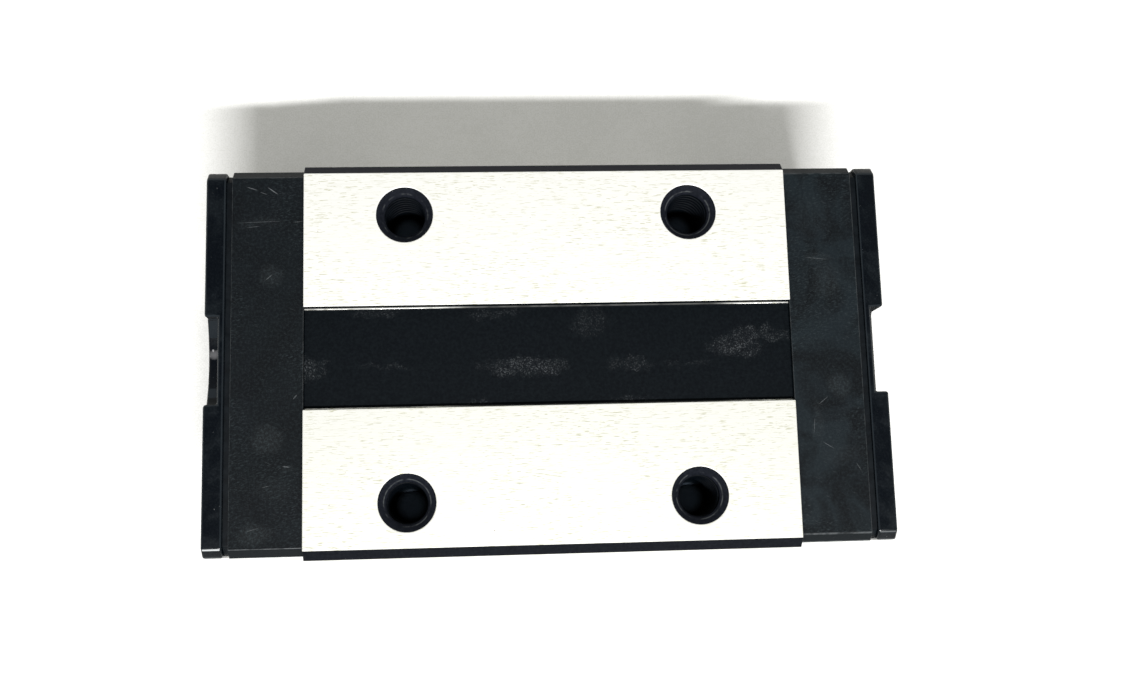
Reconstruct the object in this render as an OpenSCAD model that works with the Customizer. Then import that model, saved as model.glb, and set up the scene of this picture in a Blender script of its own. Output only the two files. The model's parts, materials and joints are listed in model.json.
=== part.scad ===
// Linear guide carriage for a 23 mm wide profile rail, square block type, millimetres.
// X runs along the rail, Y across it, Z up out of the mounting face. The legs stand on z = 0.

/* [Block] */
// Length of the steel block along the rail
block_l = 59.5; // [57:0.5:70]
// Width across the block
block_w = 48; // [47:0.5:52]
// Height from the feet of the legs to the ground top
block_h = 34.5; // [34:0.5:38]
// Chamfer along the two long top edges
top_chamfer = 1.2; // [0.6:0.1:1.6]
// Chamfer along the two long bottom edges
bottom_chamfer = 1; // [0.5:0.1:1.5]
// Width of the unground channel between the two ground strips
channel_w = 12.4; // [8:0.2:14]
// Depth of the unground channel
channel_d = 1.05; // [0.4:0.05:1.5]

/* [Mounting holes] */
// Distance between the mounting holes along the rail
hole_x = 35; // [32:0.5:36]
// Distance between the mounting holes across the rail
hole_y = 35; // [32:0.5:36]
// Radius of the tapped hole's wall
hole_r = 2.5; // [2.1:0.05:2.6]
// Depth of the tapped hole
hole_depth = 9; // [6:0.5:9]
// Radius of the countersunk mouth
mouth_r = 3.5; // [2.8:0.1:3.8]

/* [Rail way] */
// Half the width of the rail's head
rail_half = 11.5; // [11.4:0.05:11.6]
// Half the width of the rail's waist
waist_half = 9.5; // [9.2:0.05:9.6]
// Height of the rail's top above the feet
rail_top = 16.5; // [16.3:0.05:16.6]
// Clearance between the end caps and the rail
cap_gap = 0.35; // [0.2:0.05:0.5]
// Clearance between the sealing lips and the rail
lip_gap = 0.08; // [0.05:0.01:0.15]

/* [Ball circuits] */
// Ball diameter
ball_d = 3.969; // [3.9:0.001:3.98]
// Balls on each straight run
row_balls = 14; // [14]
// Balls in each turn
turn_balls = 3; // [3]
// Distance of the loaded rows from the middle plane
load_y = 11.8; // [11.7:0.05:11.9]
// Half the height between the upper and lower loaded rows
load_half = 3.7; // [3.6:0.05:3.8]
// Height halfway between the loaded rows
load_mid = 12.5; // [12.4:0.05:12.6]
// Slope of each circuit's plane
tilt = 27; // [25:0.5:29]
// Radius of the ground grooves
groove_r = 2.064; // [2.05:0.002:2.08]
// Radius of the plastic turning channels and return tubes
way_r = 2.14; // [2.1:0.01:2.2]

/* [End caps and seals] */
// Thickness of an end cap
cap_t = 8.65; // [8.3:0.05:9.5]
// Width of the end caps
cap_w = 46.9; // [46:0.1:47.2]
// Height of the end caps' top above the feet
cap_top = 34; // [33.5:0.1:34.2]
// Height of the end caps' and seals' bottom above the feet
cap_bottom = 0.45; // [0.3:0.05:0.6]
// Thickness of the steel plate inside an end seal
plate_t = 0.75; // [0.6:0.05:1]
// Thickness of the rubber on the plate
rubber_t = 2.4; // [2:0.05:2.6]
// Width of the notch in the top of a seal
notch_w = 10.6; // [9:0.1:11.5]
// Depth of the flat notch in the front seal
front_notch_d = 4.6; // [3:0.1:4.8]
// Depth of the hollow notch in the rear seal, at its ends
rear_notch_d = 1.7; // [1:0.1:2.2]
// How much deeper the hollow notch is in its middle
rear_notch_sag = 1.2; // [0.5:0.1:1.5]

/* [Hidden] */
$fn = 48;

half_l = block_l / 2;
cap_face = half_l + cap_t;
plate_face = cap_face + plate_t;
seal_face = plate_face + rubber_t;
ball_r = ball_d / 2;
// The balls stand half a pitch either side of the points where a turn meets a straight run
pitch = block_l / row_balls;
turn_r = turn_balls * pitch / PI;
// Roof of the rail way, and inner face of the legs
roof_z = 17.8;
leg_y = 12.4;
// Return tube, the hole that it lies in, and the short spigots of the end caps
tube_r = 2.68;
tube_hole_r = 2.74;
spigot_l = 1.2;
// Half length of a return guide across its circuit's plane
guide_half = 2.9;
guide_r = 4;
// Screws that hold the seals and end caps: [across, up] on each side
screw_at = [[14, 27.4], [19.4, 12.5]];
screw_r = 1.45;
screw_hole_r = 1.52;
screw_depth = 8;
head_r = 2.75;
head_h = 1.9;
// Grease port in the middle of each end cap
port_z = 24.4;
port_r = 2.65;
port_depth = 6.2;
// How far the retainers' ends run into the end caps
tuck = 1.2;
strip_tuck = 2;
strip_z = 0.35;
strip_t = 0.6;

// ---- helpers ----

// Extrudes an outline drawn in Y and Z along X
module along_x(x0, x1) {
    translate([x0, 0, 0]) rotate([90, 0, 90]) linear_extrude(height = x1 - x0) children();
}

module both_sides() {
    children();
    mirror([1, 0, 0]) children();
}

// Puts a circuit's own plane in place: x along the rail, y from the loaded row to the return row
module on_circuit(side, level) {
    translate([0, 0, load_mid])
        mirror([0, side < 0 ? 1 : 0, 0])
            mirror([0, 0, level < 0 ? 1 : 0])
                translate([0, load_y, load_half]) rotate([tilt, 0, 0]) children();
}

module every_circuit() {
    for (side = [-1, 1], level = [-1, 1]) on_circuit(side, level) children();
}

// A straight round way at a distance y from the loaded row, from x0 to x1
module straight_way(y, r, x0, x1) {
    translate([x0, y, 0]) rotate([0, 90, 0]) cylinder(r = r, h = x1 - x0);
}

// The turning channel at the +X end. It runs on past the half turn by a few degrees
module turn_way(r) {
    translate([half_l, turn_r, 0])
        rotate([0, 0, -94])
            rotate_extrude(angle = 188) translate([turn_r, 0]) circle(r = r);
}

// Outline of one half of the rail, grown by a gap, without its grooves
function rail_side(g) = [
    [-0.1, rail_top + g], [rail_half + g, rail_top + g],
    [rail_half + g, load_mid - load_half], [waist_half + g, load_mid - load_half],
    [waist_half + g, 4.6], [rail_half + g, 3], [rail_half + g, -1], [-0.1, -1]
];

// Outline of the opening that the rail runs through
module rail_outline(g) {
    both_sides()
        difference() {
            polygon(rail_side(g));
            for (dz = [-load_half, load_half])
                translate([load_y, load_mid + dz]) circle(r = groove_r - g);
        }
}

// Rounded-corner outline of the end caps and seals, inset by e
module end_outline(e, corner) {
    w = cap_w / 2 - e;
    t = cap_top - e;
    b = cap_bottom + e;
    polygon([
        [-w, b + corner], [-w + corner, b], [w - corner, b], [w, b + corner],
        [w, t - corner], [w - corner, t], [-w + corner, t], [-w, t - corner]
    ]);
}

// ---- retainers and bottom seals, as outlines on the left side ----

module middle_retainer_outline(e) {
    difference() {
        union() {
            translate([11.75 - e, 10.3]) square([0.6 + 2 * e, 4.4]);
            translate([12.3, 12 - e]) square([1 + e, 1 + 2 * e]);
        }
        for (dz = [-load_half, load_half])
            translate([load_y, load_mid + dz]) circle(r = 2.12 - e);
    }
}

module lower_retainer_outline() {
    difference() {
        union() {
            translate([9.9, 5.7]) square([2.45, 2.3]);
            translate([12.3, 5.7]) square([0.9, 0.7]);
        }
        translate([load_y, load_mid - load_half]) circle(r = 2.12);
    }
}

module ceiling_retainer_outline(e) {
    difference() {
        union() {
            translate([-10.6, 16.85 - e]) square([21.2, 0.85 + 2 * e]);
            translate([-2 - e, 17.6]) square([4 + 2 * e, 0.9 + e]);
        }
        both_sides() translate([load_y, load_mid + load_half]) circle(r = 2.12 - e);
    }
}

module strip_outline(e) {
    translate([12.7 - e, strip_z - e]) square([4.5 + 2 * e, strip_t + 2 * e]);
}

// ---- block ----

module block_outline() {
    w = block_w / 2;
    c = channel_w / 2;
    difference() {
        polygon([
            [-w, bottom_chamfer], [-w + bottom_chamfer, 0], [w - bottom_chamfer, 0],
            [w, bottom_chamfer], [w, block_h - top_chamfer], [w - top_chamfer, block_h],
            [-w + top_chamfer, block_h], [-w, block_h - top_chamfer]
        ]);
        // unground channel, with small fillets at the foot of its walls
        difference() {
            translate([-c, block_h - channel_d]) square([channel_w, channel_d + 1]);
            both_sides()
                difference() {
                    translate([c - 0.35, block_h - channel_d - 0.1]) square([0.45, 0.45]);
                    translate([c - 0.35, block_h - channel_d + 0.35]) circle(r = 0.35);
                }
        }
        // rail way
        translate([-leg_y, -1]) square([2 * leg_y, roof_z + 1]);
        translate([-2.15, roof_z - 0.1]) square([4.3, 1]);
        both_sides() {
            for (dz = [-load_half, load_half])
                translate([load_y, load_mid + dz]) circle(r = groove_r);
            // slots that seat the retainers, and the recess for the bottom seal
            translate([leg_y - 0.1, 11.9]) square([1.1, 1.2]);
            translate([leg_y - 0.1, 5.6]) square([1, 0.9]);
            translate([leg_y - 0.1, -1]) square([5.1, 2.1]);
        }
    }
}

module mounting_hole() {
    translate([0, 0, block_h - hole_depth]) cylinder(r = hole_r, h = hole_depth + 1);
    translate([0, 0, block_h - hole_depth - 1.4]) cylinder(r1 = 0, r2 = hole_r, h = 1.4);
    translate([0, 0, block_h - (mouth_r - hole_r)])
        cylinder(r1 = hole_r, r2 = mouth_r, h = mouth_r - hole_r);
    translate([0, 0, block_h]) cylinder(r = mouth_r, h = 1);
}

module screw_ways(r, x0, x1) {
    for (side = [-1, 1], at = screw_at)
        translate([x0, side * at[0], at[1]]) rotate([0, 90, 0]) cylinder(r = r, h = x1 - x0);
}

module slider_block() {
    color([0.93, 0.93, 0.9])
        difference() {
            along_x(-half_l, half_l) block_outline();
            every_circuit() straight_way(2 * turn_r, tube_hole_r, -half_l - 1, half_l + 1);
            for (x = [-1, 1], y = [-1, 1])
                translate([x * hole_x / 2, y * hole_y / 2, 0]) mounting_hole();
            both_sides() screw_ways(screw_hole_r, half_l - screw_depth, half_l + 1);
        }
}

// ---- end caps ----

// Half-round pocket, or the guide that sits in it
module guide_shape(r, half, x0) {
    translate([half_l, turn_r, 0])
        intersection() {
            translate([0, 0, -half]) cylinder(r = r, h = 2 * half);
            translate([x0, -r - 1, -half - 1]) cube([r + 1, 2 * r + 2, 2 * half + 2]);
        }
}

module return_guides() {
    every_circuit()
        difference() {
            guide_shape(guide_r, guide_half, 0.04);
            turn_way(way_r);
        }
}

module end_cap() {
    difference() {
        union() {
            difference() {
                along_x(half_l, cap_face) end_outline(0, 1);
                along_x(half_l - 1, cap_face + 1) rail_outline(cap_gap);
            }
            // spigots that centre the cap in the return holes
            every_circuit() straight_way(2 * turn_r, tube_r, half_l - spigot_l, half_l + 0.5);
        }
        every_circuit() {
            guide_shape(guide_r + 0.05, guide_half + 0.05, -0.001);
            turn_way(way_r);
            straight_way(2 * turn_r, way_r + 0.06, half_l - spigot_l - 1, half_l - 0.1);
        }
        // slots for the ends of the retainers and of the bottom seals
        along_x(half_l - 0.5, half_l + tuck + 0.1) {
            ceiling_retainer_outline(0.05);
            both_sides() middle_retainer_outline(0.05);
        }
        along_x(half_l - 0.5, half_l + strip_tuck + 0.1) both_sides() strip_outline(0.05);
        screw_ways(screw_hole_r, half_l - 1, cap_face + 1);
        // grease port, its duct and the grease grooves on the inner face
        translate([cap_face - port_depth, 0, port_z])
            rotate([0, 90, 0]) cylinder(r = port_r, h = port_depth + 1);
        translate([half_l - 1, 0, port_z]) rotate([0, 90, 0]) cylinder(r = 1.2, h = cap_t);
        translate([half_l - 1, -16, port_z - 0.6]) cube([1.7, 32, 1.2]);
        for (side = [-1, 1])
            translate([half_l - 1, side * 15.4 - 0.6, 8]) cube([1.7, 1.2, port_z - 8]);
        // moulding relief on the inner face
        translate([half_l - 1, -8.5, 28.6]) cube([2.6, 17, 3.2]);
        // moulded panel on each side, with the pilot mark of a side grease port
        for (side = [-1, 1]) {
            translate([half_l + 1.5, side * cap_w / 2 - 0.4, 5.5]) cube([5.2, 0.8, 21]);
            translate([half_l + 4.1, side * cap_w / 2, 22])
                rotate([90, 0, 0]) cylinder(r = 1.9, h = 1.6, center = true);
        }
    }
}

// ---- end seals ----

module seal_plate() {
    along_x(cap_face, plate_face)
        difference() {
            end_outline(0.45, 1);
            rail_outline(0.75);
            for (side = [-1, 1], at = screw_at)
                translate([side * at[0], at[1]]) circle(r = 1.6);
            translate([0, port_z]) circle(r = 3.7);
        }
}

module flat_notch() {
    translate([-notch_w / 2, cap_top - front_notch_d]) {
        difference() {
            square([notch_w, front_notch_d + 1]);
            square([0.5, 0.5]);
            translate([notch_w - 0.5, 0]) square([0.5, 0.5]);
        }
        translate([0.5, 0.5]) circle(r = 0.5);
        translate([notch_w - 0.5, 0.5]) circle(r = 0.5);
    }
}

module hollow_notch() {
    r = (notch_w * notch_w / 4 + rear_notch_sag * rear_notch_sag) / (2 * rear_notch_sag);
    intersection() {
        translate([-notch_w / 2, cap_top - 6]) square([notch_w, 8]);
        union() {
            translate([0, cap_top - rear_notch_d - rear_notch_sag + r]) circle(r = r);
            translate([-notch_w, cap_top - rear_notch_d]) square([2 * notch_w, 4]);
        }
    }
}

// Rubber moulded on the plate; the child is the outline of its top notch
module seal_lip() {
    web = plate_face + 0.8;
    difference() {
        union() {
            difference() {
                along_x(plate_face, seal_face) end_outline(0.05, 1);
                along_x(plate_face - 1, seal_face + 1) rail_outline(0.9);
            }
            // thin lip that follows the rail
            along_x(plate_face + 1, plate_face + 1.8)
                difference() {
                    intersection() {
                        end_outline(0.05, 1);
                        rail_outline(1.3);
                    }
                    rail_outline(lip_gap);
                }
        }
        along_x(web, seal_face + 1) children();
        screw_ways(3.1, plate_face - 1, seal_face + 1);
        translate([plate_face - 1, 0, port_z]) rotate([0, 90, 0]) cylinder(r = 3.9, h = rubber_t + 2);
    }
}

// Pan-head screws with a cross recess
module cap_screws() {
    for (side = [-1, 1], at = screw_at)
        translate([plate_face + 0.02, side * at[0], at[1]])
            rotate([0, 90, 0])
                difference() {
                    union() {
                        translate([0, 0, half_l + 0.5 - screw_depth - plate_face])
                            cylinder(r = screw_r, h = plate_face + screw_depth - half_l);
                        intersection() {
                            cylinder(r = head_r, h = head_h);
                            translate([0, 0, head_h - 4.2]) sphere(r = 4.2);
                        }
                    }
                    for (a = [45, 135])
                        rotate([0, 0, a])
                            translate([-1.5, -0.35, head_h - 1.3]) cube([3, 0.7, 2]);
                }
}

// Hexagon-socket plug in the rear grease port
module grease_plug() {
    translate([cap_face - 5, 0, port_z])
        rotate([0, 90, 0])
            difference() {
                cylinder(r = port_r - 0.05, h = 4.6);
                translate([0, 0, 2]) cylinder(d = 3 / cos(30), h = 4, $fn = 6);
            }
}

// ---- bottom seals ----

module bottom_strip() {
    along_x(-half_l - strip_tuck, half_l + strip_tuck) strip_outline(0);
}

module bottom_lip() {
    along_x(-half_l + 0.05, half_l - 0.05)
        polygon([[11.58, 0.55], [11.8, 0.25], [12.66, 0.08], [12.66, 1.02], [12.1, 1.02]]);
}

// ---- ball circuits ----

module ball() {
    sphere(r = ball_r);
}

module ball_row(y) {
    for (i = [0 : row_balls - 1])
        translate([(i + 0.5) * pitch - half_l, y, 0]) ball();
}

// Balls of the turn at the +X end (dir 1) or the -X end (dir -1)
module ball_turn(dir) {
    for (i = [0 : turn_balls - 1]) {
        a = (i + 0.5) * 180 / turn_balls;
        translate([dir * (half_l + turn_r * sin(a)), turn_r - turn_r * cos(a), 0]) ball();
    }
}

module load_balls(side, level) {
    color([0.8, 0.8, 0.82]) on_circuit(side, level) ball_row(0);
}

module return_balls(side, level) {
    color([0.8, 0.8, 0.82]) on_circuit(side, level) ball_row(2 * turn_r);
}

module turn_group(side, level, dir) {
    color([0.8, 0.8, 0.82]) on_circuit(side, level) ball_turn(dir);
}

module return_tube(side, level) {
    color([0.85, 0.84, 0.78])
        on_circuit(side, level)
            difference() {
                straight_way(2 * turn_r, tube_r, spigot_l + 0.05 - half_l, half_l - spigot_l - 0.05);
                straight_way(2 * turn_r, way_r, -half_l, half_l);
            }
}

// ---- one module per piece ----

module front_end_cap() {
    color([0.12, 0.14, 0.15]) end_cap();
}

module rear_end_cap() {
    color([0.12, 0.14, 0.15]) mirror([1, 0, 0]) end_cap();
}

module front_return_guides() {
    color([0.82, 0.8, 0.72]) return_guides();
}

module rear_return_guides() {
    color([0.82, 0.8, 0.72]) mirror([1, 0, 0]) return_guides();
}

module front_seal_plate() {
    color([0.25, 0.26, 0.27]) seal_plate();
}

module rear_seal_plate() {
    color([0.25, 0.26, 0.27]) mirror([1, 0, 0]) seal_plate();
}

module front_seal_lip() {
    color([0.04, 0.06, 0.1]) seal_lip() flat_notch();
}

module rear_seal_lip() {
    color([0.04, 0.06, 0.1]) mirror([1, 0, 0]) seal_lip() hollow_notch();
}

module front_cap_screws() {
    color([0.2, 0.2, 0.21]) cap_screws();
}

module rear_cap_screws() {
    color([0.2, 0.2, 0.21]) mirror([1, 0, 0]) cap_screws();
}

module rear_grease_plug() {
    color([0.3, 0.3, 0.31]) mirror([1, 0, 0]) grease_plug();
}

module bottom_seal_strip(side) {
    color([0.62, 0.63, 0.64]) mirror([0, side < 0 ? 1 : 0, 0]) bottom_strip();
}

module bottom_seal_lip(side) {
    color([0.04, 0.06, 0.1]) mirror([0, side < 0 ? 1 : 0, 0]) bottom_lip();
}

module ceiling_ball_retainer() {
    color([0.16, 0.17, 0.18])
        along_x(-half_l - tuck, half_l + tuck) ceiling_retainer_outline(0);
}

module middle_retainer(side) {
    color([0.16, 0.17, 0.18])
        mirror([0, side < 0 ? 1 : 0, 0])
            along_x(-half_l - tuck, half_l + tuck) middle_retainer_outline(0);
}

module lower_retainer(side) {
    color([0.16, 0.17, 0.18])
        mirror([0, side < 0 ? 1 : 0, 0])
            along_x(-half_l + 0.05, half_l - 0.05) lower_retainer_outline();
}

slider_block();
front_end_cap();
rear_end_cap();
front_return_guides();
rear_return_guides();
front_seal_plate();
rear_seal_plate();
front_seal_lip();
rear_seal_lip();
front_cap_screws();
rear_cap_screws();
rear_grease_plug();
bottom_seal_strip(1);  // left_bottom_seal_strip
bottom_seal_strip(-1);  // right_bottom_seal_strip
bottom_seal_lip(1);  // left_bottom_seal_lip
bottom_seal_lip(-1);  // right_bottom_seal_lip
ceiling_ball_retainer();
middle_retainer(1);  // left_middle_retainer
middle_retainer(-1);  // right_middle_retainer
lower_retainer(1);  // left_lower_retainer
lower_retainer(-1);  // right_lower_retainer
return_tube(1, 1);  // upper_left_return_tube
return_tube(-1, 1);  // upper_right_return_tube
return_tube(1, -1);  // lower_left_return_tube
return_tube(-1, -1);  // lower_right_return_tube
load_balls(1, 1);  // upper_left_load_balls
return_balls(1, 1);  // upper_left_return_balls
turn_group(1, 1, 1);  // upper_left_front_turn_balls
turn_group(1, 1, -1);  // upper_left_rear_turn_balls
load_balls(-1, 1);  // upper_right_load_balls
return_balls(-1, 1);  // upper_right_return_balls
turn_group(-1, 1, 1);  // upper_right_front_turn_balls
turn_group(-1, 1, -1);  // upper_right_rear_turn_balls
load_balls(1, -1);  // lower_left_load_balls
return_balls(1, -1);  // lower_left_return_balls
turn_group(1, -1, 1);  // lower_left_front_turn_balls
turn_group(1, -1, -1);  // lower_left_rear_turn_balls
load_balls(-1, -1);  // lower_right_load_balls
return_balls(-1, -1);  // lower_right_return_balls
turn_group(-1, -1, 1);  // lower_right_front_turn_balls
turn_group(-1, -1, -1);  // lower_right_rear_turn_balls
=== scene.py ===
"""Linear guide carriage: looks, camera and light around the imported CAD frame.

The scene is in metres. Materials, edge radii and threads are given in millimetres.
"""
import json
import math

import bmesh
import bpy
from mathutils import Euler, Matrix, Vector


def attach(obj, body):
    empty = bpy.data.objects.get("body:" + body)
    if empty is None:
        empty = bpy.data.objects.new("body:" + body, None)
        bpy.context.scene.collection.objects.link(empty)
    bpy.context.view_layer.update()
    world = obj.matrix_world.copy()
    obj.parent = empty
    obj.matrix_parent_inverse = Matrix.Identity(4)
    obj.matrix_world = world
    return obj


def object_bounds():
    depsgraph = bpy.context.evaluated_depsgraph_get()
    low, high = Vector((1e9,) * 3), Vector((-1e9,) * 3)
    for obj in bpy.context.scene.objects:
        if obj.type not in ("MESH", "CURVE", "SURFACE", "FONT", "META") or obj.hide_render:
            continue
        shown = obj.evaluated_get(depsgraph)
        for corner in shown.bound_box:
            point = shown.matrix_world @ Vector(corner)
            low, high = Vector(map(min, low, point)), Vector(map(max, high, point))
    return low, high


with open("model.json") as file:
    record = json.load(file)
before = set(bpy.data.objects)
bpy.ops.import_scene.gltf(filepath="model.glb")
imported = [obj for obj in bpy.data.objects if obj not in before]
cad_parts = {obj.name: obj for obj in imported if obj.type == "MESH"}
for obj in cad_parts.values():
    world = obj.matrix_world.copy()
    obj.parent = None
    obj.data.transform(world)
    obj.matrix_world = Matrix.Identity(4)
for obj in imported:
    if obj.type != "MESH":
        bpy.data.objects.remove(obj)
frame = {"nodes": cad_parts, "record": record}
cad_low, cad_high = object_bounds()
nodes = frame["nodes"]
MM = 0.001
HALF_WIDTH = cad_high[1] / MM
HEIGHT = cad_high[2] / MM
# centres of the mounting holes, to each side of both middles, in mm
HOLE_OFFSET = 17.5
# centres of the four raceways, in mm: to each side, and above and below a middle height
RACE_OFFSET_Y = 11.8
RACE_OFFSET_Z = 3.7
RACE_MIDDLE_Z = 12.5


# ---- shader building ----

class Shader:
    """A node material in frame coordinates, in millimetres, so that every scale below is in 1/mm."""

    def __init__(self, name, **principled):
        self.mat = bpy.data.materials.new(name)
        self.mat.use_nodes = True
        self.tree = self.mat.node_tree
        self.tree.nodes.clear()
        self.out = self.tree.nodes.new("ShaderNodeOutputMaterial")
        self.bsdf = self.tree.nodes.new("ShaderNodeBsdfPrincipled")
        self.tree.links.new(self.bsdf.outputs[0], self.out.inputs[0])
        for key, value in principled.items():
            self.bsdf.inputs[key.replace("_", " ")].default_value = value
        coord = self.tree.nodes.new("ShaderNodeTexCoord")
        self.pos = self.scaled(coord.outputs["Object"], (1000, 1000, 1000))
        self.normal = coord.outputs["Normal"]

    def put(self, socket, value):
        """Link another node's output, or set a constant."""
        if isinstance(value, bpy.types.NodeSocket):
            self.tree.links.new(value, socket)
        elif value is not None:
            socket.default_value = value

    def scaled(self, vector, scale, offset=(0, 0, 0), turn=0.0):
        n = self.tree.nodes.new("ShaderNodeMapping")
        self.put(n.inputs["Vector"], vector)
        n.inputs["Scale"].default_value = scale
        n.inputs["Location"].default_value = offset
        n.inputs["Rotation"].default_value = (0, 0, math.radians(turn))
        return n.outputs[0]

    def math(self, op, a, b=None, c=None, clamp=False):
        n = self.tree.nodes.new("ShaderNodeMath")
        n.operation = op
        n.use_clamp = clamp
        for socket, value in zip(n.inputs, (a, b, c)):
            self.put(socket, value)
        return n.outputs[0]

    def axes(self, vector=None):
        n = self.tree.nodes.new("ShaderNodeSeparateXYZ")
        self.put(n.inputs[0], vector or self.pos)
        return n.outputs

    def noise(self, scale, detail=2.0, rough=0.5, stretch=(1, 1, 1), offset=(0, 0, 0),
              distortion=0.0, turn=0.0):
        """Noise drawn out by stretch, along a direction turned by turn degrees.
        Mapping turns after it scales, so the turn has a mapping of its own before the stretch."""
        n = self.tree.nodes.new("ShaderNodeTexNoise")
        vector = self.scaled(self.pos, (1, 1, 1), turn=turn) if turn else self.pos
        self.put(n.inputs["Vector"], self.scaled(vector, stretch, offset))
        n.inputs["Scale"].default_value = scale
        n.inputs["Detail"].default_value = detail
        n.inputs["Roughness"].default_value = rough
        n.inputs["Distortion"].default_value = distortion
        return n.outputs["Fac"]

    def ramp(self, value, low, high, out_low=0.0, out_high=1.0):
        """A smooth step from out_low at low to out_high at high."""
        n = self.tree.nodes.new("ShaderNodeMapRange")
        n.interpolation_type = "SMOOTHSTEP"
        for key, v in (("Value", value), ("From Min", low), ("From Max", high),
                       ("To Min", out_low), ("To Max", out_high)):
            self.put(n.inputs[key], v)
        return n.outputs[0]

    def mix(self, factor, a, b):
        """Colour a at factor 0, colour b at factor 1."""
        n = self.tree.nodes.new("ShaderNodeMix")
        n.data_type = "RGBA"
        self.put(n.inputs["Factor"], factor)
        for socket, value in ((n.inputs[6], a), (n.inputs[7], b)):
            self.put(socket, (*value, 1) if isinstance(value, tuple) else value)
        return n.outputs[2]

    def blend(self, factor, a, b):
        """Number a at factor 0, number b at factor 1."""
        n = self.tree.nodes.new("ShaderNodeMix")
        n.data_type = "FLOAT"
        self.put(n.inputs["Factor"], factor)
        self.put(n.inputs[2], a)
        self.put(n.inputs[3], b)
        return n.outputs[0]

    def times(self, *values):
        product = values[0]
        for value in values[1:]:
            product = self.math("MULTIPLY", product, value)
        return product

    def squares(self, a, b):
        """a squared plus b squared."""
        return self.math("ADD", self.math("POWER", a, 2), self.math("POWER", b, 2))

    def away(self, value, centre):
        """How far value lies beyond centre, or beyond -centre on the other side of 0."""
        return self.math("SUBTRACT", self.math("ABSOLUTE", value), centre)

    def between(self, value, low, high, soft):
        """1 between low and high, 0 outside, with soft shoulders."""
        return self.times(self.ramp(value, low - soft, low), self.ramp(value, high, high + soft, 1, 0))

    def slopes(self, half_y, z_low, z_high):
        """Two masks: 45 degree chamfers, and the rounded edges between them and the faces square to an axis.
        Both hold only beyond half_y to each side, below z_low or above z_high, which leaves out the holes
        and the inside walls."""
        nx, ny, nz = (self.math("ABSOLUTE", v) for v in self.axes(self.normal))
        main = self.math("MAXIMUM", self.math("MAXIMUM", nx, ny), nz)
        _, y, z = self.axes()
        aside = self.math("GREATER_THAN", self.math("ABSOLUTE", y), half_y)
        out = self.math("MAXIMUM", aside, self.math("GREATER_THAN", z, z_high))
        out = self.math("MAXIMUM", out, self.math("LESS_THAN", z, z_low))
        return (self.times(out, self.ramp(main, 0.74, 0.78, 1, 0)),
                self.times(out, self.between(main, 0.77, 0.965, 0.025)))

    def spots(self, places, ragged, size):
        """Ragged ellipses. places holds (x, y, half-length, half-width, strength) in mm."""
        x, y, _ = self.axes()
        shift_x = self.noise(size, 3, 0.6)
        shift_y = self.noise(size, 3, 0.6, (1, 1, 1), (17, 5, 3))
        x = self.math("ADD", x, self.math("MULTIPLY", self.math("SUBTRACT", shift_x, 0.5), ragged))
        y = self.math("ADD", y, self.math("MULTIPLY", self.math("SUBTRACT", shift_y, 0.5), ragged * 0.7))
        total = None
        for cx, cy, half_x, half_y, strength in places:
            dx = self.math("DIVIDE", self.math("SUBTRACT", x, cx), half_x)
            dy = self.math("DIVIDE", self.math("SUBTRACT", y, cy), half_y)
            spot = self.ramp(self.squares(dx, dy), 0.0, 1.5, strength, 0)
            total = spot if total is None else self.math("MAXIMUM", total, spot)
        return total

    def strokes(self, places):
        """Short straight scratches. places holds (x, y, direction, half-length, half-width, strength),
        in mm and degrees."""
        x, y, _ = self.axes()
        total = None
        for cx, cy, turn, length, width, strength in places:
            cos = math.cos(math.radians(turn))
            sin = math.sin(math.radians(turn))
            dx = self.math("SUBTRACT", x, cx)
            dy = self.math("SUBTRACT", y, cy)
            along = self.math("ADD", self.math("MULTIPLY", dx, cos / length),
                              self.math("MULTIPLY", dy, sin / length))
            aside = self.math("ADD", self.math("MULTIPLY", dx, -sin / width),
                              self.math("MULTIPLY", dy, cos / width))
            stroke = self.ramp(self.squares(along, aside), 0.1, 1.2, strength, 0)
            total = stroke if total is None else self.math("MAXIMUM", total, stroke)
        return total

    def bump(self, *layers):
        """Each layer is (height, depth in mm), stacked."""
        normal = None
        for height, depth in layers:
            n = self.tree.nodes.new("ShaderNodeBump")
            n.inputs["Distance"].default_value = depth * MM
            self.put(n.inputs["Height"], height)
            if normal is not None:
                self.put(n.inputs["Normal"], normal)
            normal = n.outputs[0]
        self.put(self.bsdf.inputs["Normal"], normal)

    def set(self, **sockets):
        for key, value in sockets.items():
            self.put(self.bsdf.inputs[key.replace("_", " ")], value)
        return self.mat


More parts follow.
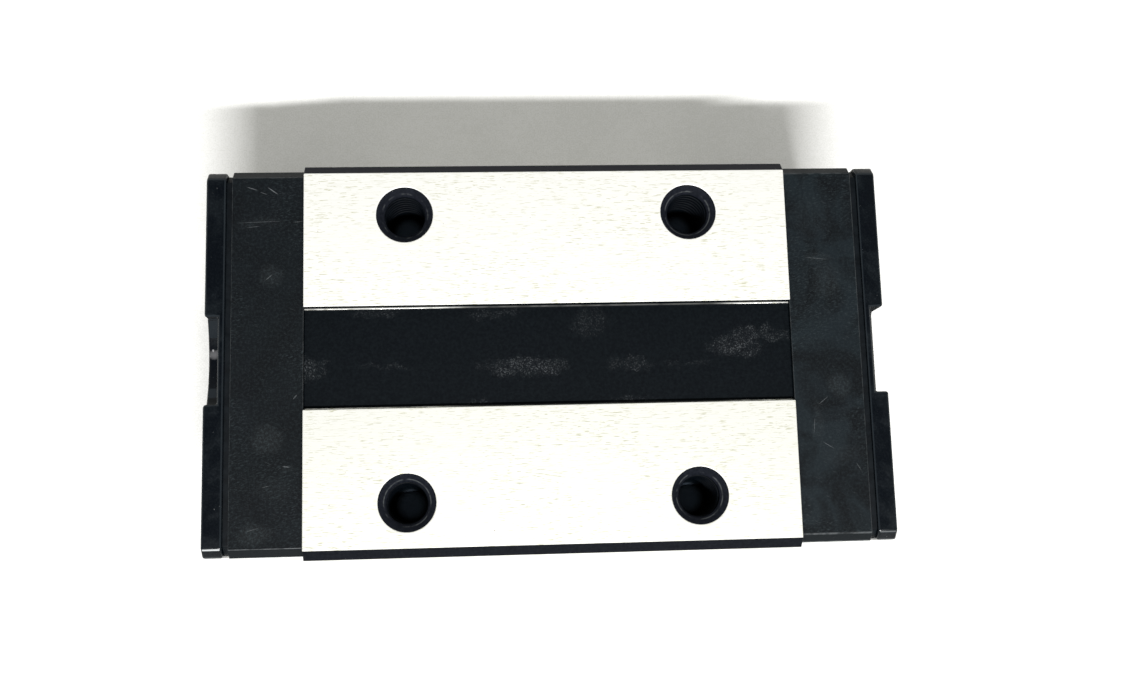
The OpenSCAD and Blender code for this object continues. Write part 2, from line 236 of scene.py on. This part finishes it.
# Each place is (centre x, centre y, half-length, half-width, strength), in mm.
# dried oil in the channel; the four thin places near y = ±5.5 along its walls are painted glints
CHANNEL_OIL_AND_GLINTS = [
    (-29.0, -1.2, 1.7, 1.6, 0.9),
    (-3.1, -1.3, 5.2, 1.2, 1.0),
    (9.9, -1.2, 2.6, 0.8, 0.7),
    (22.6, 0.6, 3.4, 1.3, 1.0),
    (25.2, 2.2, 3.0, 1.0, 0.9),
    (28.6, 2.0, 1.8, 0.8, 0.7),
    (4.8, 3.9, 2.4, 2.0, 0.45),
    (-20.0, -1.2, 3.0, 0.4, 0.4),
    (-21.5, 5.5, 3.2, 0.6, 0.5),
    (-7.0, 5.3, 3.6, 0.7, 0.5),
    (-9.0, -5.8, 2.2, 0.5, 0.5),
    (10.0, -5.8, 3.0, 0.5, 0.5),
    (16.5, -1.4, 3.0, 0.4, 0.3),
]
CAP_SCUFFS = [
    (-34.0, -9.6, 1.9, 2.0, 1.0),
    (-35.4, -20.6, 2.0, 1.4, 0.9),
    (-33.0, -15.5, 2.6, 1.8, 0.35),
    (-33.6, 10.2, 1.7, 1.5, 0.8),
    (-35.0, 16.8, 3.0, 0.7, 0.45),
    (-31.6, -13.0, 0.8, 0.5, 0.5),
    (35.3, -4.5, 1.6, 1.7, 0.9),
    (32.4, -8.6, 0.7, 3.0, 0.6),
    (35.0, -13.0, 3.0, 1.2, 0.4),
    (34.6, 8.6, 1.9, 2.4, 0.6),
    (33.6, 11.4, 1.8, 0.8, 0.7),
    (33.0, 17.0, 2.4, 3.0, 0.3),
]
# painted highlights in the hollow of the rear seal's notch
NOTCH_HIGHLIGHTS = [
    (-40.55, 1.1, 1.2, 0.55, 0.22),
    (-41.0, 1.6, 0.15, 0.18, 0.6),
    (-40.15, -1.1, 0.2, 1.3, 0.3),
    (-40.15, 3.8, 0.2, 1.4, 0.25),
]
# (centre x, centre y, direction in degrees, half-length, half-width, strength), in mm
CAP_SCRATCHES = [
    (-36.0, 21.1, -18, 0.75, 0.06, 0.8),
    (-33.5, 20.8, -36, 0.85, 0.07, 1.0),
    (-34.6, 20.5, -20, 0.5, 0.05, 0.6),
    (-35.0, 16.9, 2, 2.8, 0.05, 0.4),
    (-35.8, 16.3, 5, 0.9, 0.05, 0.5),
    (-30.3, 16.9, 8, 0.8, 0.06, 0.5),
    (-33.9, 10.0, 40, 0.6, 0.06, 0.6),
    (-30.7, -4.6, 50, 0.4, 0.08, 0.6),
    (-31.7, -12.9, -8, 0.5, 0.09, 0.7),
    (-34.1, -15.2, 12, 0.5, 0.05, 0.5),
    (-35.6, -20.2, 15, 0.9, 0.05, 0.5),
    (33.3, -6.3, 38, 0.8, 0.05, 0.6),
    (32.0, -9.4, 84, 1.0, 0.05, 0.5),
    (33.6, -11.8, -32, 0.9, 0.05, 0.6),
    (37.2, -14.5, -60, 0.6, 0.05, 0.5),
    (33.4, 11.5, -6, 1.5, 0.05, 0.5),
]


def block_material():
    """Ground mounting strips, sides and raceways; black as-hardened skin everywhere else."""
    s = Shader("block_steel", Specular_IOR_Level=0.07)
    x, y, z = s.axes()
    y_abs = s.math("ABSOLUTE", y)
    back_painted_lighter = s.ramp(y, -6, 6)

    # where it is ground: top and side faces, and the four raceways
    top = s.math("GREATER_THAN", z, HEIGHT - 0.04)
    side = s.math("GREATER_THAN", y_abs, HALF_WIDTH - 0.04)
    race_z = s.away(s.math("SUBTRACT", z, RACE_MIDDLE_Z), RACE_OFFSET_Z)
    from_race = s.squares(s.away(y, RACE_OFFSET_Y), race_z)
    walls = s.math("MAXIMUM", side, s.math("LESS_THAN", from_race, 4.5))
    # the grinding wheel has touched the base of the channel's walls; the bright tone there, strongest toward
    # both ends, is a painted highlight for the key light's glint on the fillet
    ends = s.math("MAXIMUM", s.ramp(x, -15, -9, 1, 0.1), s.ramp(x, 20, 25, 0.1, 1))
    foot_ground_and_glint = s.times(s.between(y_abs, 6.01, 6.13, 0.02), s.between(z, 33.4, 33.78, 0.03), ends,
                   s.ramp(s.noise(1, 3, 0.6, (0.3, 0.5, 0.5), (0, 3, 8)), 0.34, 0.52, 0.4, 1))
    ground = s.math("MAXIMUM", s.math("MAXIMUM", top, walls), foot_ground_and_glint)

    # bright steel: grinding marks run along the rail
    worked = s.ramp(s.noise(0.09, 3, 0.6, (1, 1.6, 1), (4, 1, 2)), 0.36, 0.62, 0.45, 1)
    dashes = s.times(s.ramp(s.noise(1, 2, 0.55, (0.85, 9.5, 8.5)), 0.58, 0.66), worked)
    hair = s.ramp(s.noise(1, 2, 0.5, (0.3, 15, 15), (3, 1, 7)), 0.42, 0.70)
    specks = s.ramp(s.noise(3.2, 2, 0.6, (0.7, 1, 1), (5, 9, 1)), 0.765, 0.80)
    # the front strip and its dashes are painted darker than the back ones: painted shade, against the key
    # light that lights the front strip more
    tone = s.mix(back_painted_lighter, (0.640, 0.640, 0.612), (0.765, 0.765, 0.745))
    tone = s.mix(s.math("MULTIPLY", hair, 0.22), tone, (0.56, 0.56, 0.48))
    dash_tone = s.mix(back_painted_lighter, (0.37, 0.37, 0.25), (0.43, 0.425, 0.28))
    tone = s.mix(s.math("MULTIPLY", dashes, 0.85), tone, dash_tone)
    tone = s.mix(s.math("MULTIPLY", specks, 0.8), tone, (0.24, 0.21, 0.17))

    # black skin: lighter on the chamfers, with dried oil and painted glints in the channel
    mottle = s.ramp(s.noise(3.0, 3, 0.7, (1, 1, 1), (1, 7, 3)), 0.3, 0.75)
    black = s.mix(mottle, (0.0002, 0.0012, 0.0026), (0.0026, 0.0046, 0.0064))
    chamfer = s.times(s.ramp(y_abs, 22.8, 22.9), s.ramp(z, 33.2, 33.4))
    # painted shade on the front chamfer's dark mottled tone and painted light on the lighter back chamfer
    front_chamfer_shaded = s.mix(mottle, (0.0006, 0.0014, 0.0038), (0.0062, 0.0076, 0.0112))
    black = s.mix(chamfer, black, s.mix(back_painted_lighter, front_chamfer_shaded, (0.0130, 0.0135, 0.0185)))
    in_channel = s.times(s.ramp(y_abs, 6.1, 6.2, 1, 0), s.ramp(z, 33.2, 33.3))
    grain = s.ramp(s.noise(6.0, 3, 0.75), 0.49, 0.69)
    oil_and_glints = s.times(s.spots(CHANNEL_OIL_AND_GLINTS, 4.2, 0.7), in_channel, s.ramp(grain, 0, 1, 0.05, 1),
                   s.ramp(s.noise(1.1, 4, 0.65), 0.32, 0.60, 0.15, 1))
    black = s.mix(oil_and_glints, black, (0.075, 0.082, 0.088))

    # mounting holes: a lighter countersink, with a painted highlight in broken arcs on its inner edge
    near_holes = s.times(s.ramp(y_abs, 13.0, 13.2), s.ramp(y_abs, 21.9, 22.0, 1, 0))
    mouth = s.times(s.ramp(z, 33.3, 33.45), near_holes, s.ramp(mottle, 0, 1, 0.5, 1))
    black = s.mix(mouth, black, (0.0095, 0.0110, 0.0165))
    highlight_arcs = s.ramp(s.noise(0.5, 3, 0.6, (1, 1, 1), (9, 9, 9)), 0.42, 0.56)
    mouth_ring_highlight = s.times(s.between(z, 33.76, 33.86, 0.03), near_holes, highlight_arcs)
    black = s.mix(mouth_ring_highlight, black, (0.055, 0.060, 0.064))
    # the middle of their bottoms is painted pale blue: painted light on the deep, unlit bottoms
    from_hole = s.squares(s.away(x, HOLE_OFFSET), s.away(y, HOLE_OFFSET))
    painted_hole_light = s.times(s.ramp(from_hole, 0.2, 4.2, 1, 0), s.ramp(z, 25.9, 26.3, 1, 0), s.ramp(z, 20, 20.5))
    black = s.mix(painted_hole_light, black, (0.30, 0.40, 0.54))

    black_rough = s.ramp(oil_and_glints, 0, 1, 0.58, 0.66)
    ground_rough = s.blend(s.math("MAXIMUM", walls, foot_ground_and_glint), 0.5, 0.3)
    s.set(Base_Color=s.mix(ground, black, tone),
          Metallic=s.blend(walls, s.blend(foot_ground_and_glint, s.math("MULTIPLY", top, 0.30), 0.7), 0.85),
          Roughness=s.blend(ground, black_rough, ground_rough))
    unevenness = s.times(s.noise(2.2, 4, 0.6), s.ramp(ground, 0, 1, 1, 0.15))
    s.bump((s.math("MULTIPLY", hair, ground), -0.004),
           (s.math("MULTIPLY", dashes, ground), -0.004),
           (unevenness, 0.006))
    return s.mat


def cap_material():
    """Moulded charcoal plastic: fine grain, scuffed places, short scratches and slightly polished edges that
    carry a painted highlight; the back chamfers are painted lighter than the front ones.
    """
    s = Shader("cap_plastic", Specular_IOR_Level=0.12)
    x, y, _ = s.axes()
    cloud = s.ramp(s.noise(0.16, 4, 0.6, (1, 1, 1), (3, 8, 1), 0.8), 0.35, 0.70)
    cloud = s.math("MULTIPLY", cloud, s.ramp(x, -10, 10, 0.25, 1.3))
    grain = s.ramp(s.noise(3.0, 4, 0.8, (1, 1, 1), (1, 2, 3)), 0.44, 0.66)
    scuffs = s.spots(CAP_SCUFFS, 2.4, 0.4)
    base = s.mix(cloud, (0.0001, 0.0010, 0.0022), (0.0048, 0.0086, 0.0116))
    base = s.mix(s.math("MULTIPLY", grain, s.ramp(scuffs, 0, 1, 0.30, 0.80)), base, (0.018, 0.026, 0.030))
    base = s.mix(s.math("MULTIPLY", scuffs, 0.16), base, (0.028, 0.031, 0.033))
    # patches of short fine streaks from handling
    worn = s.ramp(s.noise(0.11, 2, 0.5, (1, 1, 1), (2, 6, 5)), 0.42, 0.56)
    hairs = s.ramp(s.noise(1, 2, 0.6, (2.0, 6.5, 2.0), (6, 2, 4), turn=-14), 0.54, 0.68)
    base = s.mix(s.times(hairs, worn, 0.55), base, (0.022, 0.030, 0.034))
    # wandering hairlines, then the scratches
    lines = s.ramp(s.noise(1, 1, 0.4, (0.6, 12, 1), (3, 3, 0), turn=24), 0.73, 0.77)
    scratched = s.math("MAXIMUM", s.strokes(CAP_SCRATCHES), s.math("MULTIPLY", lines, 0.25))
    scratched = s.math("MULTIPLY", scratched, s.ramp(s.noise(5, 2), 0.3, 0.55, 0.4, 1))
    base = s.mix(s.math("MULTIPLY", scratched, 0.85), base, (0.110, 0.120, 0.128))
    chamfer, edge = s.slopes(22.2, 1.5, 32.6)
    # painted light: the back chamfers are painted lighter than the front ones
    base = s.mix(chamfer, base, s.mix(s.ramp(y, -6, 6), (0.0042, 0.0062, 0.0080), (0.019, 0.021, 0.023)))
    edge = s.math("MULTIPLY", edge, s.ramp(s.noise(0.9, 3, 0.6), 0.32, 0.6, 0.25, 1))
    # painted highlight on the rounded edges, brightest along the front and on the left cap; their lower
    # roughness is real polish
    edge_highlight_tone = s.mix(s.ramp(y, -23, -22), (0.21, 0.225, 0.235), (0.080, 0.087, 0.093))
    base = s.mix(s.times(edge, s.ramp(x, -10, 10, 0.7, 0.4)), base, edge_highlight_tone)
    s.set(Base_Color=base, Roughness=s.blend(edge, s.ramp(cloud, 0, 1, 0.64, 0.56), 0.38))
    s.bump((grain, 0.006), (s.noise(0.35, 2), 0.01), (scratched, -0.004))
    return s.mat


def rubber_material():
    """Blue-black nitrile rubber, glossier than the caps, with a faint bloom and specks of dust."""
    s = Shader("seal_rubber", Specular_IOR_Level=0.19)
    bloom = s.ramp(s.noise(0.28, 4, 0.6, (1, 1, 1), (7, 1, 5), 0.3), 0.40, 0.72)
    grain = s.ramp(s.noise(4.6, 4, 0.75, (1, 1, 1), (2, 6, 1)), 0.42, 0.76)
    base = s.mix(bloom, (0.0002, 0.0012, 0.0030), (0.0012, 0.0030, 0.0050))
    base = s.mix(s.times(grain, s.ramp(bloom, 0, 1, 0.15, 0.45)), base, (0.020, 0.026, 0.031))
    dust = s.ramp(s.noise(3.4, 2, 0.6, (1, 1, 1), (4, 4, 9)), 0.745, 0.775)
    base = s.mix(s.math("MULTIPLY", dust, 0.8), base, (0.30, 0.31, 0.31))
    _, edge = s.slopes(21.5, 1.0, 31.5)
    # the rounded edges are painted a little lighter: a painted highlight
    base = s.mix(s.math("MULTIPLY", edge, 0.5), base, (0.020, 0.026, 0.032))
    # the top edge of the right side is painted bright, most of all at the rear end: a painted highlight
    x, y, z = s.axes()
    nx, ny, nz = s.axes(s.normal)
    square_on = s.times(s.ramp(nx, 0.2, 0.35, 1, 0), s.ramp(nx, -0.35, -0.2))
    front_edge_highlight = s.times(s.between(ny, -0.50, -0.32, 0.04), square_on, s.ramp(y, -22, -21, 1, 0),
                     s.ramp(z, 30, 31), s.ramp(x, -10, 10, 0.8, 0.15))
    base = s.mix(front_edge_highlight, base, (0.55, 0.57, 0.58))
    # painted highlights on the upward faces of the notch's hollow
    notch_highlights = s.times(s.spots(NOTCH_HIGHLIGHTS, 0.6, 1.5), s.ramp(nz, 0.6, 0.8), s.between(z, 28, 31.3, 0.1))
    base = s.mix(notch_highlights, base, (0.42, 0.42, 0.44))
    # the cut walls of the notches are dull
    cut = s.times(s.ramp(s.math("ABSOLUTE", ny), 0.6, 0.8), s.ramp(s.math("ABSOLUTE", y), 8, 9, 1, 0),
                  s.ramp(z, 25, 26))
    rough = s.blend(edge, s.ramp(bloom, 0, 1, 0.26, 0.36), 0.16)
    s.set(Base_Color=base, Roughness=s.blend(cut, rough, 1.0))
    s.bump((s.noise(0.5, 3, 0.5), 0.03), (grain, 0.003))
    return s.mat


def plain_metal(name, low, high, rough, stretch=(1, 1, 1), metallic=1.0, specular=0.5):
    """Metal whose tone, roughness and surface vary a little. Stretch draws the noise out along the working
    direction."""
    s = Shader(name, Metallic=metallic, Specular_IOR_Level=specular)
    streak = s.noise(1, 3, 0.6, stretch)
    s.set(Base_Color=s.mix(s.ramp(streak, 0.3, 0.7), low, high),
          Roughness=s.ramp(s.noise(0.7, 3, 0.6, (1, 1, 1), (2, 2, 2)), 0.3, 0.7, rough[0], rough[1]))
    s.bump((streak, 0.004))
    return s.mat


def guide_material():
    """Off-white acetal, slightly translucent."""
    s = Shader("guide_plastic", Specular_IOR_Level=0.4)
    tone = s.noise(0.4, 3, 0.5)
    s.set(Base_Color=s.mix(s.ramp(tone, 0.3, 0.7), (0.66, 0.63, 0.53), (0.74, 0.71, 0.62)),
          Roughness=s.ramp(s.noise(1.1, 2), 0.3, 0.7, 0.38, 0.5))
    s.bsdf.inputs["Subsurface Weight"].default_value = 0.1
    s.bsdf.inputs["Subsurface Radius"].default_value = (0.001, 0.0008, 0.0005)
    s.bump((s.noise(6, 3), 0.004))
    return s.mat


MATERIALS = {
    "ground_steel": block_material(),
    "cap_plastic": cap_material(),
    "seal_rubber": rubber_material(),
    "guide_plastic": guide_material(),
    # the seal plates' near-black tone is partly painted shade, for the narrow recess between cap and seal
    "plate_steel": plain_metal("plate_steel", (0.0008, 0.0020, 0.0034), (0.0036, 0.0058, 0.0082),
                               (0.45, 0.6), metallic=0.0, specular=0.12),
    "black_screws": plain_metal("black_screws", (0.030, 0.030, 0.033), (0.065, 0.064, 0.062),
                                (0.32, 0.46), metallic=0.8),
    "strip_steel": plain_metal("strip_steel", (0.50, 0.51, 0.52), (0.62, 0.62, 0.62),
                               (0.28, 0.4), (0.1, 9, 9)),
    "ball_steel": plain_metal("ball_steel", (0.74, 0.74, 0.76), (0.80, 0.80, 0.81), (0.07, 0.12)),
    "thread_black": plain_metal("thread_black", (0.0004, 0.0012, 0.0026), (0.0018, 0.0032, 0.0052),
                                (0.48, 0.64), metallic=0.0, specular=0.08),
}


# ---- CAD nodes: softened edges and finishes ----

# edges that turn by less than this stay as they are
SHARP_ANGLE = math.radians(26)
# node-name ending -> edge radius in mm
EDGES = {
    "slider_block": 0.12,
    "end_cap": 0.18,
    "seal_lip": 0.30,
    "bottom_seal_lip": 0.08,
    "seal_plate": 0.08,
    "cap_screws": 0.10,
    "grease_plug": 0.10,
    "return_guides": 0.10,
    "retainer": 0.08,
    "seal_strip": 0.06,
}
# node-name ending -> where the largest pieces are rounded, as (half_y, z_low, z_high) in mm: beyond half_y
# to each side, below z_low or above z_high. The fine details further in stay sharp, so that they don't
# limit the radius of the outer edges.
OUTER = {
    "slider_block": (22.0, -1.0, 33.0),
    "end_cap": (22.4, 1.3, 32.9),
    "seal_lip": (13.0, 0.0, 19.0),
}


def outer_edges(name, half_y, z_low, z_high):
    """Geometry nodes that give bevel weight 1 to the sharp edges of the outer region and 0 to the rest."""
    tree = bpy.data.node_groups.new(name, "GeometryNodeTree")
    for way in ("INPUT", "OUTPUT"):
        tree.interface.new_socket("Geometry", in_out=way, socket_type="NodeSocketGeometry")

    def math_node(op, a, b=None):
        n = tree.nodes.new("ShaderNodeMath")
        n.operation = op
        for socket, value in zip(n.inputs, (a, b)):
            if isinstance(value, bpy.types.NodeSocket):
                tree.links.new(value, socket)
            elif value is not None:
                socket.default_value = value
        return n.outputs[0]

    turn = tree.nodes.new("GeometryNodeInputMeshEdgeAngle").outputs["Unsigned Angle"]
    weight = math_node("GREATER_THAN", turn, SHARP_ANGLE)
    ends = tree.nodes.new("GeometryNodeInputMeshEdgeVertices")
    for key in ("Position 1", "Position 2"):
        place = tree.nodes.new("ShaderNodeSeparateXYZ")
        tree.links.new(ends.outputs[key], place.inputs[0])
        aside = math_node("GREATER_THAN", math_node("ABSOLUTE", place.outputs["Y"]), half_y * MM)
        above = math_node("GREATER_THAN", place.outputs["Z"], z_high * MM)
        below = math_node("LESS_THAN", place.outputs["Z"], z_low * MM)
        outside = math_node("MAXIMUM", math_node("MAXIMUM", aside, above), below)
        weight = math_node("MULTIPLY", weight, outside)
    store = tree.nodes.new("GeometryNodeStoreNamedAttribute")
    store.data_type = "FLOAT"
    store.domain = "EDGE"
    store.inputs["Name"].default_value = "bevel_weight_edge"
    tree.links.new(weight, store.inputs["Value"])
    tree.links.new(tree.nodes.new("NodeGroupInput").outputs[0], store.inputs["Geometry"])
    tree.links.new(store.outputs[0], tree.nodes.new("NodeGroupOutput").inputs[0])
    return tree


def soften(obj, radius_mm, region=None):
    """Modifiers that merge the tessellated mesh's flat triangles and round its sharp edges."""
    weld = obj.modifiers.new("weld", "WELD")
    weld.merge_threshold = 0.002 * MM
    flat = obj.modifiers.new("flat", "DECIMATE")
    flat.decimate_type = "DISSOLVE"
    flat.angle_limit = math.radians(0.3)
    if region:
        choice = obj.modifiers.new("outer_edges", "NODES")
        choice.node_group = outer_edges(obj.name + "_outer_edges", *region)
    bevel = obj.modifiers.new("edges", "BEVEL")
    bevel.limit_method = "WEIGHT" if region else "ANGLE"
    bevel.angle_limit = SHARP_ANGLE
    bevel.width = radius_mm * MM
    bevel.segments = 3
    # an end seal's thin lip would hold its outer edges to half the radius
    end_seal = region is not None and obj.name.endswith("_seal_lip")
    bevel.use_clamp_overlap = not end_seal
    bevel.harden_normals = False
    normals = obj.modifiers.new("normals", "WEIGHTED_NORMAL")
    normals.weight = 60
    normals.keep_sharp = False


slots = {s["node"]: s["material_slot"] for s in frame["record"]["subparts"]}
for name, obj in nodes.items():
    obj.data.materials.clear()
    obj.data.materials.append(MATERIALS[slots[name]])
    # the longest ending that fits, so a bottom seal lip isn't taken for an end seal's
    fitting = sorted((ending for ending in EDGES if name.endswith(ending)), key=len)
    if fitting:
        soften(obj, EDGES[fitting[-1]], OUTER.get(fitting[-1]))


# ---- threads ----

THREAD_STEPS = 48


def thread(name, centre_mm, axis, radius_mm, depth_mm, pitch_mm, length_mm, body, material):
    """The crests of an internal thread: one helical ridge that stands inwards from a bored wall.
    centre_mm is the ridge's outer end, and axis points into the hole."""
    count = int(length_mm / pitch_mm * THREAD_STEPS)
    # the ridge runs out over the first and last third of a turn
    run_out = THREAD_STEPS / 3
    axis = Vector(axis).normalized()
    side = axis.orthogonal().normalized()
    other = axis.cross(side)
    # ridge outline: distance in from the wall in mm, and offset along the axis in pitches
    outline = [(-0.02, -0.36), (depth_mm * 0.8, -0.10), (depth_mm, -0.05),
               (depth_mm, 0.05), (depth_mm * 0.8, 0.10), (-0.02, 0.36)]
    mesh = bmesh.new()
    rings = []
    for i in range(count + 1):
        angle = 2 * math.pi * i / THREAD_STEPS
        out = side * math.cos(angle) + other * math.sin(angle)
        along = i / THREAD_STEPS * pitch_mm
        fade = min(1, i / run_out, (count - i) / run_out)
        ring = []
        for inward, shift in outline:
            offset = out * (radius_mm - inward * fade) + axis * (along + shift * pitch_mm)
            ring.append(mesh.verts.new((Vector(centre_mm) + offset) * MM))
        rings.append(ring)
    for a, b in zip(rings, rings[1:]):
        for k in range(len(outline)):
            j = (k + 1) % len(outline)
            mesh.faces.new((a[k], a[j], b[j], b[k]))
    mesh.faces.new(rings[0][::-1])
    mesh.faces.new(rings[-1])
    bmesh.ops.recalc_face_normals(mesh, faces=mesh.faces)
    data = bpy.data.meshes.new(name)
    mesh.to_mesh(data)
    mesh.free()
    for face in data.polygons:
        face.use_smooth = True
    obj = bpy.data.objects.new(name, data)
    bpy.context.scene.collection.objects.link(obj)
    data.materials.append(MATERIALS[material])
    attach(obj, body)


for i, (sx, sy) in enumerate([(-1, -1), (1, -1), (-1, 1), (1, 1)]):
    thread(f"mounting_thread_{i + 1}", (sx * HOLE_OFFSET, sy * HOLE_OFFSET, 33.1), (0, 0, -1),
           radius_mm=2.5, depth_mm=0.16, pitch_mm=1.0, length_mm=7.0,
           body="carriage", material="thread_black")
thread("grease_port_thread", (38.1, 0, 24.4), (-1, 0, 0),
       radius_mm=2.65, depth_mm=0.18, pitch_mm=0.75, length_mm=5.4,
       body="carriage", material="cap_plastic")


# ---- camera, floor and light ----

camera = bpy.data.objects.new("camera", bpy.data.cameras.new("camera"))
bpy.context.scene.collection.objects.link(camera)
bpy.context.scene.camera = camera
camera.data.sensor_width = 36
camera.data.lens = 39.48
camera.data.clip_start = 0.01
camera.data.clip_end = 10
camera.location = (-0.00852, -0.02196, 0.18180)
camera.rotation_euler = Euler([math.radians(a) for a in (8.722, -3.567, -1.569)])

HALF_FLOOR = 1.5
floor_data = bpy.data.meshes.new("floor")
corners = [(sx * HALF_FLOOR, sy * HALF_FLOOR, 0) for sx, sy in [(-1, -1), (1, -1), (1, 1), (-1, 1)]]
floor_data.from_pydata(corners, [], [(0, 1, 2, 3)])
floor = bpy.data.objects.new("floor", floor_data)
# a hair below the part's feet, so that the two never share a plane
floor.location.z = -0.02 * MM
bpy.context.scene.collection.objects.link(floor)
paper = Shader("paper", Roughness=0.9, Specular_IOR_Level=0.0)
patches = paper.ramp(paper.noise(0.09, 3, 0.6), 0.3, 0.7, 0.25, 0.75)
fibre = paper.ramp(paper.noise(1.3, 3, 0.7), 0.3, 0.7, -0.25, 0.25)
grain = paper.ramp(paper.noise(4.5, 2, 0.6), 0.35, 0.65, -0.5, 0.5)
shade = paper.math("ADD", paper.math("ADD", patches, fibre), grain, clamp=True)
paper.set(Base_Color=paper.mix(shade, (0.855, 0.856, 0.842), (0.950, 0.949, 0.944)))
floor_data.materials.append(paper.mat)


PART_MIDDLE_Z = 0.017


def area_light(name, azimuth, elevation, distance, size, energy, colour):
    """A rectangular light aimed at the middle of the part. Azimuth 0 is on the -Y side, 90 on the +X side."""
    a = math.radians(azimuth)
    e = math.radians(elevation)
    where = Vector((math.sin(a) * math.cos(e), -math.cos(a) * math.cos(e), math.sin(e))) * distance
    data = bpy.data.lights.new(name, "AREA")
    data.shape = "RECTANGLE"
    data.size, data.size_y = size
    data.energy = energy
    data.color = colour
    light = bpy.data.objects.new(name, data)
    bpy.context.scene.collection.objects.link(light)
    light.location = where + Vector((0, 0, PART_MIDDLE_Z))
    light.rotation_euler = where.to_track_quat("Z", "Y").to_euler()


area_light("key", azimuth=4, elevation=61.5, distance=0.42, size=(0.115, 0.011), energy=2.2,
           colour=(1.0, 0.995, 0.985))

world = bpy.data.worlds.new("studio")
bpy.context.scene.world = world
world.use_nodes = True
# a bright horizon that darkens overhead
sky = world.node_tree.nodes
sky_links = world.node_tree.links
direction = sky.new("ShaderNodeTexCoord")
height = sky.new("ShaderNodeSeparateXYZ")
fall = sky.new("ShaderNodeValToRGB")
sky_links.new(direction.outputs["Generated"], height.inputs[0])
sky_links.new(height.outputs["Z"], fall.inputs["Fac"])
sky_links.new(fall.outputs["Color"], sky["Background"].inputs["Color"])
# (sine of the elevation, brightness)
stops = [(0.0, 0.95), (0.5, 0.56), (0.8, 0.50), (0.95, 0.12)]
while len(fall.color_ramp.elements) < len(stops):
    fall.color_ramp.elements.new(0.5)
for element, (at, light) in zip(fall.color_ramp.elements, stops):
    element.position = at
    element.color = (light, light, light * 0.945, 1)
sky["Background"].inputs["Strength"].default_value = 1.06

bpy.context.scene.view_settings.view_transform = "Standard"
bpy.context.scene.view_settings.look = "None"
